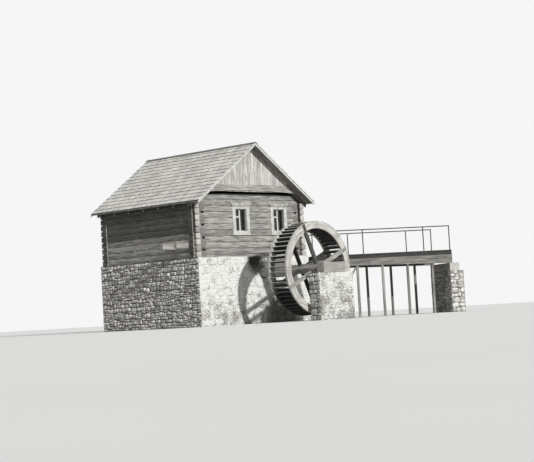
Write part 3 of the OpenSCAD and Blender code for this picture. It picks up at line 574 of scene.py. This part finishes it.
def old_paint(name, turn, cover, bare=(99.0, 99.1)):
    """White paint worn through along the grain: it is gone where a noise drawn out along the boards is under
    `cover`, and the grey wood shows. Between the two heights of `bare`, which are far over the roof where none are
    given, little of it is left."""
    mat, tree, shader, place = blank(name)
    along = add(tree, "Mapping", {"Vector": place, "Scale": (7.0, 1.0, 1.0),
                                  "Rotation": [math.radians(a) for a in turn]}, vector_type="TEXTURE")
    wear = add(tree, "TexNoise", {"Vector": along, "Scale": 22.0, "Detail": 5.0, "Roughness": 0.7})
    dirt = add(tree, "TexNoise", {"Vector": place, "Scale": 4.0, "Detail": 4.0})
    height = add(tree, "SeparateXYZ", {0: place})
    off_band = away(tree, height.outputs["Z"], sum(bare) / 2)
    flaked = add(tree, "Math", {0: off_band, 1: (bare[1] - bare[0]) / 2}, operation="LESS_THAN")
    kept = add(tree, "Math", {0: flaked, 1: -0.1, 2: wear}, operation="MULTIPLY_ADD")
    left = add(tree, "MapRange", {"Value": kept, "From Min": cover - 0.03, "From Max": cover + 0.03})
    grime = add(tree, "MapRange", {"Value": dirt, "From Min": 0.3, "From Max": 0.7,
                                   "To Min": 0.82, "To Max": 1.05})
    tint = add(tree, "Mix", {0: left, 6: srgb("#A6A49E"), 7: srgb("#DDDCD7")}, data_type="RGBA")
    whole = add(tree, "Mix", {0: 1.0, 6: tint, 7: grime}, **shaded)
    bump = add(tree, "Bump", {"Height": left, "Strength": 0.4, "Distance": 0.002})
    wire(shader, {"Base Color": whole, "Normal": bump, "Roughness": 0.7})
    return mat


# Old linseed oil paint on pine: chalked to a dull off white, and flaked in specks of 20 to 45 mm along the grain.
finish_with(old_paint("oil_paint_on_barge_boards", (0, -lean_deg, 0), cover=0.42),
            "front_barge_boards", "back_barge_boards")


# Gable boarding: upright pine boards of 0.13 m, nailed side by side with open joints, cut to the rafters' slope,
# and a pent skirt of two lapped boards under them that throws the rain off the logs.

def plank_rings(starts, ends, wide, thick, bevel=0.004):
    """Planks from end to end: an eight-sided section, a rectangle with its corners cut off, carried along a
    straight line. `wide` and `thick` are half the width and half the thickness, as vectors."""
    off_a = 1 - bevel / np.linalg.norm(wide, axis=-1, keepdims=True)
    off_b = 1 - bevel / np.linalg.norm(thick, axis=-1, keepdims=True)
    half = np.stack([wide + off_b * thick, off_a * wide + thick, thick - off_a * wide, off_b * thick - wide],
                    axis=-2)
    section = np.concatenate([half, -half], axis=-2)
    return np.stack([starts[..., None, :] + section, ends[..., None, :] + section], axis=-3)


def roof_line(x):
    """Height of the rafters' top over a place x: the lower of the two slopes."""
    return eave_z + np.minimum(x, house_w - x) * math.tan(roof_pitch) + rafter_h / math.cos(roof_pitch)


# Weathered pine boards: light grey, each its own shade, darker in patches.
gable_mat = wood("pine_gable_boards", None, "#A09E98", "#F0EEE8", (0, -90, 0), streak=0.04, spread=0.36)
# The skirt's boards lie out in the rain: the same pine, a little darker.
skirt_mat = wood("pine_skirt_boards", None, "#87857F", "#CFCDC6", streak=0.04)

gable_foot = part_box("front_gable_boards")[0][2]
foot_x = (gable_foot - eave_z - rafter_h / math.cos(roof_pitch)) / math.tan(roof_pitch)
each_side, half_thick = 21, 0.0115
widths = rng.uniform(0.11, 0.15, each_side)
cuts = foot_x + (house_w / 2 - foot_x) * np.concatenate([[0], np.cumsum(widths)]) / widths.sum()
lefts = np.concatenate([cuts[:-1], house_w - cuts[1:]]) + half_gap
rights = np.concatenate([cuts[1:], house_w - cuts[:-1]]) - half_gap
roof_foot, skirt_head, skirt_deep, skirt_out, board_t = 5.962, 6.695, 0.46, 0.21, 0.02
flare, fall, steps = 0.06, 0.335, 61
lean = math.atan2(flare, fall)
for name, plane, out in (("front", -0.196, -1), ("back", 6.776, 1)):
    count = len(lefts)
    zeros = np.zeros(count)
    wide = np.stack([(rights - lefts) / 2, zeros, zeros], axis=1)
    thick = np.stack([zeros, np.full(count, half_thick), zeros], axis=1)
    depth = plane + out * rng.uniform(0, 0.0025, count)
    starts = np.stack([(lefts + rights) / 2, depth, np.full(count, gable_foot)], axis=1)
    rings = plank_rings(starts, starts, wide, thick)
    rings[:, 1, :, 2] = roof_line(rings[:, 1, :, 0]) - 0.002
    rings = rings[rings[:, 1, :, 2].min(axis=1) > gable_foot + 0.01]
    boards = tubes(name + "_gable_planks", rings, gable_mat, tone=rng.uniform(0, 1, len(rings)))
    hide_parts(name + "_gable_boards")
    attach(boards, "mill")

    # Along the skirt, the heads follow the roof's slopes, and the lower board's foot is a parabola: 0.285 m down
    # the board in the middle of the gable, and 0.15 m more at its ends.
    down = np.array([0, out * math.sin(lean), -math.cos(lean)])
    outward = np.array([0, out * math.cos(lean), math.sin(lean)])
    for board, start_v, end_v, lift in (("upper", 0.0, 0.18, 0.004), ("lower", 0.155, None, -0.018)):
        first = (skirt_head - roof_foot - (end_v or skirt_deep) * math.cos(lean)) / math.tan(roof_pitch) + 0.02
        x = np.linspace(first, house_w - first, steps)
        bow = 0.285 + 0.15 * ((x - house_w / 2) / (house_w / 2)) ** 2
        head = np.maximum(start_v, (skirt_head - roof_line(x) + 0.004) / math.cos(lean))
        foot = np.maximum(end_v or bow, head + 0.002)
        wall_y = (0 if out < 0 else house_l) + out * skirt_out
        line = np.array([0, wall_y, skirt_head]) + x[:, None] * np.array([1.0, 0, 0])
        ring = np.stack([line + v[:, None] * down + (lift + up) * outward
                         for v, up in ((head, 0.001), (foot, 0.001), (foot, 0.001 + board_t),
                                       (head, 0.001 + board_t))], axis=1)[None]
        skirt = tubes(name + "_skirt_" + board, ring, skirt_mat, tone=rng.uniform(0.2, 0.8, 1))
        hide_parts(name + "_skirt")
        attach(skirt, "mill")


# Windows: a sash with a middle post in each opening, an upright casing board on either side, and a crown with
# upturned ears. Panes are 4 mm drawn glass, and the openings are lined with bare pine.

finish_with(old_paint("oil_paint_on_casings", (0, -90, 0), cover=0.44, bare=(5.66, 5.8)),
            "front_window_casings", "back_window_casings")

# Bare pine linings round the openings: grey and dusty.
mat = wood("pine_window_linings", ("X", 0.0, 1.3), "#A9A7A0", "#D9D7D0", (0, -90, 0))
windows, half_w, sill, head = (3.15, 5.75), 0.361, 4.469, 5.531
half_deep, half_thick = [0, 0.044, 0], 0.004
for name, plane in (("front", 0.045), ("back", 6.535)):
    cheek = np.array([[x + side * half_w, plane, z]
                      for x in windows for side in (-1, 1) for z in (sill, head)])
    level = np.array([[x + side * (half_w + half_thick), plane, z]
                      for x in windows for z in (sill - 0.005, head + 0.005) for side in (1, -1)])
    rings = np.concatenate([
        plank_rings(ends[::2], ends[1::2], np.tile(half_deep, (4, 1)), np.tile(thick, (4, 1)), 0.002)
        for ends, thick in ((cheek, [half_thick, 0, 0]), (level, [0, 0, half_thick]))])
    linings = tubes(name + "_window_linings", rings, mat)
    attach(linings, "mill")

# The casings' paint on the sashes, painted shade grey on the outer stiles beside the linings. The distance from the
# middle between the windows, and of that from half their spacing, is how far a place is from its window's middle.
to_stile = 0.305
mat = old_paint("oil_paint_on_sashes", (0, -90, 0), cover=0.4)
tree, shader = mat.node_tree, mat.node_tree.nodes["Principled BSDF"]
apart = add(tree, "SeparateXYZ", {0: add(tree, "TexCoord").outputs["Object"]})
off_x = apart.outputs["X"]
for middle in (sum(windows) / 2, (windows[1] - windows[0]) / 2):
    off_x = away(tree, off_x, middle)
# Painted shade from the reveals: the outer stiles are coloured grey.
outer = add(tree, "Math", {0: off_x, 1: to_stile}, operation="GREATER_THAN")
paint = shader.inputs["Base Color"].links[0].from_socket
whole = add(tree, "Mix", {0: outer, 6: paint, 7: srgb("#5B5955")}, data_type="RGBA")
wire(shader, {"Base Color": whole})
finish_with(mat, "front_window_sashes", "back_window_sashes")

# Window glass: clear and glossy, slightly uneven as drawn glass is; the dark room shows behind it.
mat, tree, shader, place = blank("drawn_window_glass")
ripple = add(tree, "TexNoise", {"Vector": place, "Scale": 6.0, "Detail": 1.0})
bump = add(tree, "Bump", {"Height": ripple, "Strength": 0.1, "Distance": 0.01})
wire(shader, {"Normal": bump, "Base Color": srgb("#A3A6A3"), "Roughness": 0.04, "IOR": 1.5,
              "Transmission Weight": 1.0})
finish_with(mat, "front_window_glass", "back_window_glass")


# Water wheel: two oak rims, each with four arms lapped into its outer face, and 56 paddle boards let into grooves
# between them, all on a round oak shaft with iron gudgeons. Wet below and dried pale above.

axle, rim_pieces, arm_deg = (4.2, 0.0, 2.45), 8, 24

# Oak rims, sawn from eight curved pieces each: the grain runs straight in each piece, and a dark joint parts them.
# The angle round the axle, counted in pieces, gives the piece. Below 1.2 m the far rim is dark: wet where it stood
# in the water last, and darkened further with painted shade.
for name, wet_and_shade, part in (("oak_near_rim", 1.0, "near_rim"), ("oak_far_rim", 0.12, "far_rim")):
    mat, tree, shader, place = blank(name)
    apart = add(tree, "SeparateXYZ", {0: place})
    off_x = add(tree, "Math", {0: apart.outputs["X"], 1: axle[0]}, operation="SUBTRACT")
    off_z = add(tree, "Math", {0: apart.outputs["Z"], 1: axle[2]}, operation="SUBTRACT")
    angle = add(tree, "Math", {0: off_z, 1: off_x}, operation="ARCTAN2")
    turns = add(tree, "Math", {0: angle, 1: rim_pieces / (2 * math.pi), 2: rim_pieces + 0.03},
                operation="MULTIPLY_ADD")
    piece = add(tree, "Math", {0: turns}, operation="FLOOR")
    back = add(tree, "Math", {0: piece, 1: 2 * math.pi / rim_pieces, 2: math.pi / rim_pieces},
               operation="MULTIPLY_ADD")
    level = add(tree, "VectorRotate", {"Vector": place, "Center": axle, "Angle": back}, rotation_type="Y_AXIS")
    shade = add(tree, "TexWhiteNoise", {"W": piece}, noise_dimensions="1D")
    oak = grain(tree, shader, level, shade, "#A3A19B", "#E6E4DD", (0, -90, 0), spread=0.12)
    within = add(tree, "Math", {0: turns}, operation="FRACT")
    to_joint = add(tree, "Math", {0: within, 1: 0.5}, operation="PINGPONG")
    joint = add(tree, "MapRange", {"Value": to_joint, "From Min": 0.003, "From Max": 0.008, "To Min": 0.35})
    # Wet and painted shade: below 1.2 m the far rim darkens to its share.
    shade_or_highlight = add(tree, "MapRange", {"Value": apart.outputs["Z"], "From Min": 1.2, "From Max": 1.8, "To Min": wet_and_shade})
    left = add(tree, "Math", {0: joint, 1: shade_or_highlight}, operation="MULTIPLY")
    whole = add(tree, "Mix", {0: 1.0, 6: oak, 7: left}, **shaded)
    wire(shader, {"Base Color": whole})
    finish_with(mat, part)

# Oak arms: straight grained. One pair in each wheel face is nearly black with painted shade, and the far ones,
# towards the wall, are dark with painted shade.
for name, dark, light, part in (("oak_arms_dry", "#807E78", "#C8C6BF", "near_arms"),
                                ("oak_arms_in_painted_shade", "#2A2826", "#4E4C48", "far_arms")):
    mat, tree, shader, place = blank(name)
    oak = grain(tree, shader, place, row_shade(tree, place, "Y", -3.4, 3.0), dark, light, (0, -arm_deg, 0))
    turned = add(tree, "VectorRotate", {"Vector": place, "Center": axle, "Angle": math.radians(arm_deg)},
                 rotation_type="Y_AXIS")
    from_axle = add(tree, "VectorMath", {0: turned, 1: axle}, operation="SUBTRACT")
    size = add(tree, "VectorMath", {0: from_axle}, operation="ABSOLUTE")
    apart = add(tree, "SeparateXYZ", {0: size})
    second = add(tree, "Math", {0: apart.outputs["Z"], 1: apart.outputs["X"]}, operation="GREATER_THAN")
    # Painted shade: the second pair of arms is coloured nearly black.
    pair_shade = add(tree, "MapRange", {"Value": second, "To Min": 1.0, "To Max": 0.22})
    whole = add(tree, "Mix", {0: 1.0, 6: oak, 7: pair_shade}, **shaded)
    wire(shader, {"Base Color": whole})
    finish_with(mat, part)

# Oak paddle boards: dark from water; black in the lower part, which stood in it last and is darkened further with
# painted shade; and pale at the outer edges of the others, a painted highlight.
mat, tree, shader, place = blank("oak_paddles")
oak = grain(tree, shader, place, row_shade(tree, place, "Z", 0.25, 0.12), "#181716", "#3E3C39", (0, 0, 90))
hub = add(tree, "VectorMath", {0: place, 1: axle}, operation="SUBTRACT")
flat = add(tree, "VectorMath", {0: hub, 1: (1.0, 0.0, 1.0)}, operation="MULTIPLY")
radius = add(tree, "VectorMath", {0: flat}, operation="LENGTH")
# Painted highlight: the paddles' outer edges turn pale.
shade_or_highlight = add(tree, "MapRange", {"Value": radius, "From Min": 2.15, "From Max": 2.19})
pale = add(tree, "Mix", {0: shade_or_highlight, 6: oak, 7: srgb("#C9C7C0")}, data_type="RGBA")
apart = add(tree, "SeparateXYZ", {0: place})
# Wet and painted shade: the lower paddles turn nearly black.
wet_and_shade = add(tree, "MapRange", {"Value": apart.outputs["Z"], "From Min": 1.3, "From Max": 1.6, "To Min": 0.12})
whole = add(tree, "Mix", {0: 1.0, 6: pale, 7: wet_and_shade}, **shaded)
wire(shader, {"Base Color": whole})
finish_with(mat, "paddles")

# Oak shaft: a round log, adzed smooth and dried grey.
finish_with(wood("oak_shaft", ("Y", -9.0, 30.0), "#8A8883", "#C9C7C0", (0, 0, 90)), "wheel_shaft")


# Sluice bridge: two heavy beams on sills and masonry, on thin posts between, with planks across and iron railings.
# It runs off at an angle from the house's right front corner.

# Pine bridge timber of the deck planks: dark grey with painted shade, and checked by the weather.
deck_mat = wood("pine_deck_planks", None, "#2C2A28", "#555350", (0, 0, bridge_deg + 90), spread=0.4)
# Pine along the deck's edges: nearly black with painted shade, with a dull sheen.
stringer_shade_mat = wood("pine_stringers_in_painted_shade", None, "#171615", "#34322F", (0, 0, bridge_deg), rough=0.7)
# The same pine in the beams, the sills, which dry palest, and the posts, each with its grain along it.
for name, row, dark, light, turn in (
        ("beams", ("Z", 0.0, 9.0), "#5A5853", "#9B9992", (0, 0, bridge_deg)),
        ("sills", ("X", 7.0, 3.0), "#A3A19B", "#D8D6CF", (0, 0, bridge_deg + 90)),
        ("posts", ("X", 7.0, 1.1), "#6E6C66", "#A8A69F", (0, -90, 0))):
    finish_with(wood("pine_bridge_" + name, row, dark, light, turn), "bridge_" + name)

bridge_l, bridge_w, deck_z, planks_in_all = 7.3, 3.2, 3.15, 36
jut, half_plank, half_thick = 0.04, 0.099, [0, 0, 0.028]
edges = np.linspace(0, bridge_l, planks_in_all + 1)
# Nothing uses this draw any more. Without it all the draws after it would change.
rng.random(planks_in_all)
heights = deck_z + rng.uniform(-0.0015, 0, planks_in_all)
middles = bridge_foot + ((edges[:-1] + edges[1:]) / 2)[:, None] * bridge_x + \
    heights[:, None] * np.array([0, 0, 1.0])
trim = rng.uniform(0, 0.03, (2, planks_in_all))[..., None]
planks = plank_rings(middles + (trim[0] - jut) * bridge_y, middles + (bridge_w + jut - trim[1]) * bridge_y,
                     np.tile(bridge_x * half_plank, (planks_in_all, 1)), np.tile(half_thick, (planks_in_all, 1)))
string_z, half_wide, half_high = [0, 0, 3.03], 0.07, [0, 0, 0.09]
string_start = bridge_foot + np.array([[half_wide], [bridge_w - half_wide]]) * bridge_y + string_z
stringers = plank_rings(string_start, string_start + bridge_l * bridge_x, np.tile(bridge_y * half_wide, (2, 1)),
                        np.tile(half_high, (2, 1)), bevel=0.008)
for name, rings, mat in (("bridge_deck_planks", planks, deck_mat),
                         ("bridge_deck_stringers", stringers, stringer_shade_mat)):
    deck = tubes(name, rings, mat, tone=rng.uniform(0, 1, len(rings)))
    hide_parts("bridge_deck")
    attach(deck, "mill")

# Railing tube: iron under old dark paint, rusty in patches of 30 to 100 mm.
mat, tree, shader, place = blank("painted_iron_railing")
rust = add(tree, "TexNoise", {"Vector": place, "Scale": 16.0, "Detail": 5.0, "Roughness": 0.7})
bare = add(tree, "MapRange", {"Value": rust, "From Min": 0.5, "From Max": 0.58})
tint = add(tree, "Mix", {0: bare, 6: srgb("#3A3B3A"), 7: srgb("#6B625B")}, data_type="RGBA")
bump = add(tree, "Bump", {"Height": rust, "Strength": 0.3, "Distance": 0.003})
wire(shader, {"Base Color": tint, "Normal": bump, "Roughness": 0.6})
finish_with(mat, "front_railing", "back_railing")


# Studio: a pale floor that keeps the building's shadow, a plain white surround, one broad key lamp from the front
# left, low enough to throw the wheel's shadow on the foundation, and the surround's own soft light.

floor_mat, tree, shader, place = blank("studio_floor")
speck = add(tree, "TexNoise", {"Vector": place, "Scale": 0.4})
tint = add(tree, "Mix", {0: speck, 6: srgb("#DDDDDB"), 7: srgb("#E3E3E1")}, data_type="RGBA")


def seen_directly(tree):
    """1 where a ray comes from the camera, a gloss or glass, so that the surround shows pale there: the greatest of
    the three. Light that the surround throws on the building stays at its own level."""
    path = add(tree, "LightPath").outputs
    seen = add(tree, "Math", {0: path["Is Camera Ray"], 1: path["Is Glossy Ray"]}, operation="MAXIMUM")
    return add(tree, "Math", {0: seen, 1: path["Is Transmission Ray"]}, operation="MAXIMUM")


pale = add(tree, "Mix", {0: seen_directly(tree), 6: srgb("#8C8C8A"), 7: tint}, data_type="RGBA")
wire(shader, {"Base Color": pale, "Roughness": 0.9})
mesh = bpy.data.meshes.new("studio_floor")
reach, under = 160, -0.002
mesh.from_pydata([(-reach, -reach, under), (reach, -reach, under), (reach, reach, under), (-reach, reach, under)],
                 [], [(0, 1, 2, 3)])
mesh.materials.append(floor_mat)
floor = bpy.data.objects.new("studio_floor", mesh)
bpy.context.scene.collection.objects.link(floor)

world = bpy.data.worlds.new("studio")
bpy.context.scene.world = world
world.use_nodes = True
tree = world.node_tree
level = add(tree, "MapRange", {"Value": seen_directly(tree), "To Min": 0.24, "To Max": 0.92})
wire(tree.nodes["Background"], {"Strength": level, "Color": (1, 1, 1, 1)})

for name, energy, width, direction in (("key", 2.7, 2, (-0.15, -1.0, 0.448)),
                                       ("top", 1.0, 70, (-0.25, -0.15, 1.0))):
    lamp = bpy.data.lights.new(name, "SUN")
    lamp.energy = energy
    lamp.angle = math.radians(width)
    light = bpy.data.objects.new(name, lamp)
    bpy.context.scene.collection.objects.link(light)
    x, y, z = np.array(direction) / np.linalg.norm(direction)
    light.rotation_euler = (math.acos(z), 0, math.atan2(y, x) + math.pi / 2)

# The camera was fitted to the photograph. Its focal length is in pixels of a picture 534 wide.
yaw, pitch, roll = math.radians(45.457), math.radians(3.184), math.radians(-3.262)
focal_px, picture_px = 1501.67, 534
ahead = np.array([math.sin(yaw) * math.cos(pitch), math.cos(yaw) * math.cos(pitch), math.sin(pitch)])
right = np.array([math.cos(yaw), -math.sin(yaw), 0])
above = np.cross(right, ahead)
lens = bpy.data.cameras.new("camera")
lens.sensor_width = 36
lens.lens = focal_px / picture_px * lens.sensor_width
lens.clip_end = 500
camera = bpy.data.objects.new("camera", lens)
bpy.context.scene.collection.objects.link(camera)
matrix = np.eye(4)
matrix[:3, 0] = math.cos(roll) * right + math.sin(roll) * above
matrix[:3, 1] = math.cos(roll) * above - math.sin(roll) * right
matrix[:3, 2] = -ahead
matrix[:3, 3] = (-47.381, -51.442, 0.396)
camera.matrix_world = Matrix(matrix.tolist())
bpy.context.scene.camera = camera
bpy.context.scene.view_settings.view_transform = "Standard"
